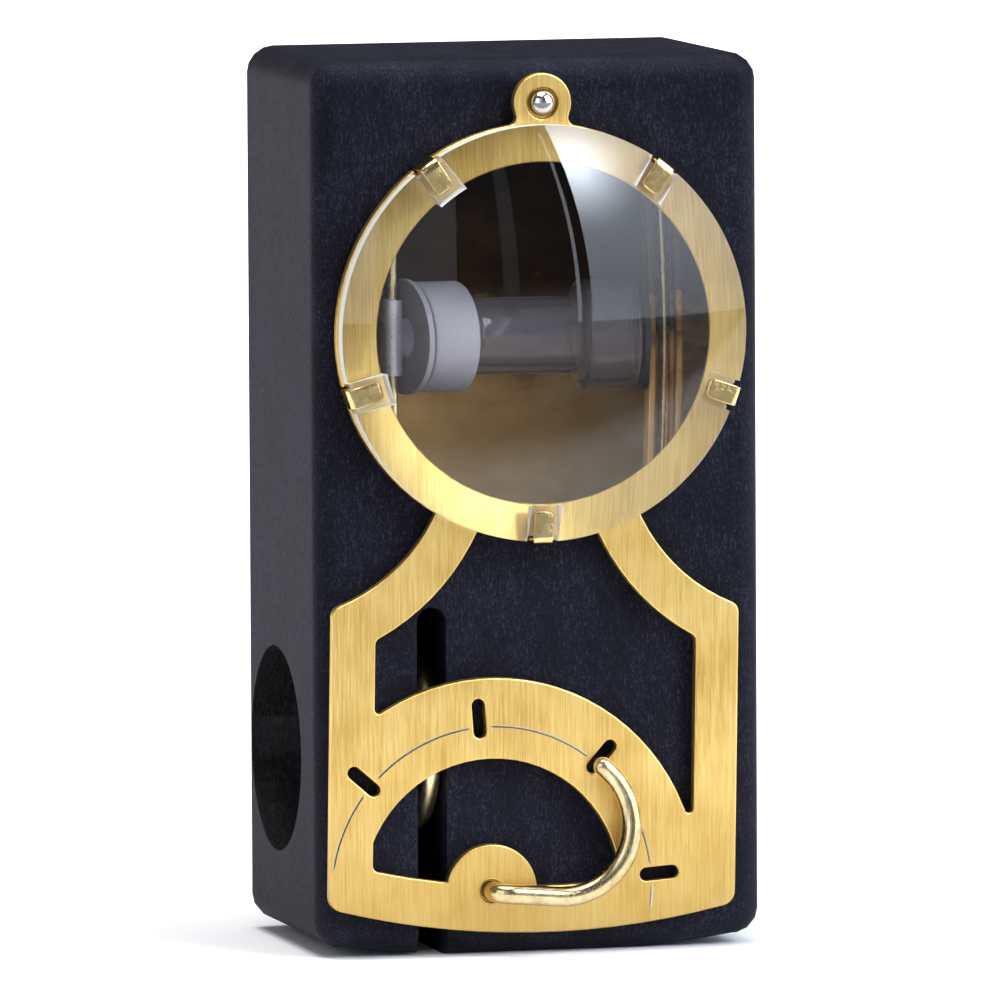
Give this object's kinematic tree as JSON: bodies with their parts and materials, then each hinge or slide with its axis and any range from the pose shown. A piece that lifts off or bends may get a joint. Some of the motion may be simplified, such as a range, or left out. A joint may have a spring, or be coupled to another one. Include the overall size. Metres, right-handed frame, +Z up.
{
  "type": "pocket sextant-style sighting instrument",
  "caption": "Upright black block case with a swinging brass cover plate that holds a domed lens over a vial chamber, with a quadrant, wire index lever and slot hoop.",
  "frame": {"origin": "middle of the flat that the case stands on", "axes": "+X across the front to the viewer's right, +Y from the front face to the back, +Z up"},
  "size_m": [0.055, 0.047, 0.1075],
  "materials": {
    "black_wood": "satin black stain over fine grain",
    "brushed_brass": "brushed, upright grain",
    "polished_brass": "polished",
    "steel": "polished",
    "nickel": "satin nickel plate",
    "lens_glass": "polished clear",
    "vial_glass": "clear neck, ground ends",
    "dark_collar": "matte"
  },
  "bodies": {
    "case": {"case_block": "black_wood", "pivot_pin": "steel", "pivot_washer": "polished_brass", "hoop_pin": "steel", "chamber_back_plate": "brushed_brass", "left_post": "polished_brass", "post_sleeve": "nickel", "vial": "vial_glass", "vial_collar_left": "vial_glass", "vial_collar_right": "dark_collar", "side_channel": "brushed_brass", "channel_rod": "polished_brass"},
    "cover": {"cover_plate": "brushed_brass", "lens": "lens_glass", "lens_claw_1": "polished_brass", "lens_claw_2": "polished_brass", "lens_claw_3": "polished_brass", "lens_claw_4": "polished_brass", "lens_claw_5": "polished_brass"},
    "lever": {"index_lever": "polished_brass", "lever_keeper": "polished_brass"},
    "hoop": {"hoop_ring": "polished_brass"}
  },
  "joints": [
    {"name": "cover_swing", "type": "hinge", "parent": "case", "child": "cover", "pos_m": [0, -0.0188, 0.1022], "axis": [0, -1, 0], "continuous": true},
    {"name": "lever_turn", "type": "hinge", "parent": "cover", "child": "lever", "pos_m": [-0.00675, -0.0195, 0.0079], "axis": [0, -1, 0], "range_deg": [-47, 88]},
    {"name": "hoop_turn", "type": "hinge", "parent": "case", "child": "hoop", "pos_m": [-0.0132, -0.0068, 0.025], "axis": [1, 0, 0], "continuous": true}
  ]
}
